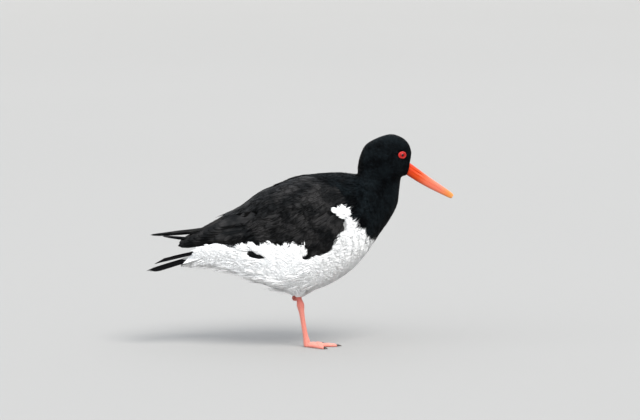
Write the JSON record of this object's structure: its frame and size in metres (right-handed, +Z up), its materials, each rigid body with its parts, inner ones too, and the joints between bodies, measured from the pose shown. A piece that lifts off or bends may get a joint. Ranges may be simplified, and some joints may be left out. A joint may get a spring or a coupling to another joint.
{
  "type": "oystercatcher",
  "caption": "Life-size model of a pied oystercatcher resting on one leg, with long straight bill, folded wings, short tail and the other leg drawn up.",
  "frame": {"origin": "on the floor, at the middle of the pad under the standing foot", "axes": "+X the way the bird faces, +Y towards its left side, +Z up"},
  "size_m": [0.3997, 0.1272, 0.2782],
  "materials": {
    "black_plumage": "glossy black feathers",
    "white_plumage": "soft white feathers",
    "wing_plumage": "brown-black flight feathers",
    "bill": "satin orange-red horn",
    "eye": "glossy red",
    "eye_ring": "matt bare skin",
    "leg_skin": "matt pink scaled skin",
    "claw": "dark horn"
  },
  "bodies": {
    "root": {"bill_lower": "bill", "bill_upper": "bill", "claw_left_inner": "claw", "claw_left_middle": "claw", "claw_left_outer": "claw", "claw_right_inner": "claw", "claw_right_middle": "claw", "claw_right_outer": "claw", "eye_left": "eye", "eye_right": "eye", "eye_ring_left": "eye_ring", "eye_ring_right": "eye_ring", "head": "black_plumage", "neck": "black_plumage", "tail": "white_plumage", "tarsus_left": "leg_skin", "tarsus_right": "leg_skin", "thigh_left": "white_plumage", "thigh_right": "white_plumage", "toe_left_inner": "leg_skin", "toe_left_middle": "leg_skin", "toe_left_outer": "leg_skin", "toe_right_inner": "leg_skin", "toe_right_middle": "leg_skin", "toe_right_outer": "leg_skin", "torso": "white_plumage", "wing_left": "wing_plumage", "wing_right": "wing_plumage"}
  },
  "joints": []
}
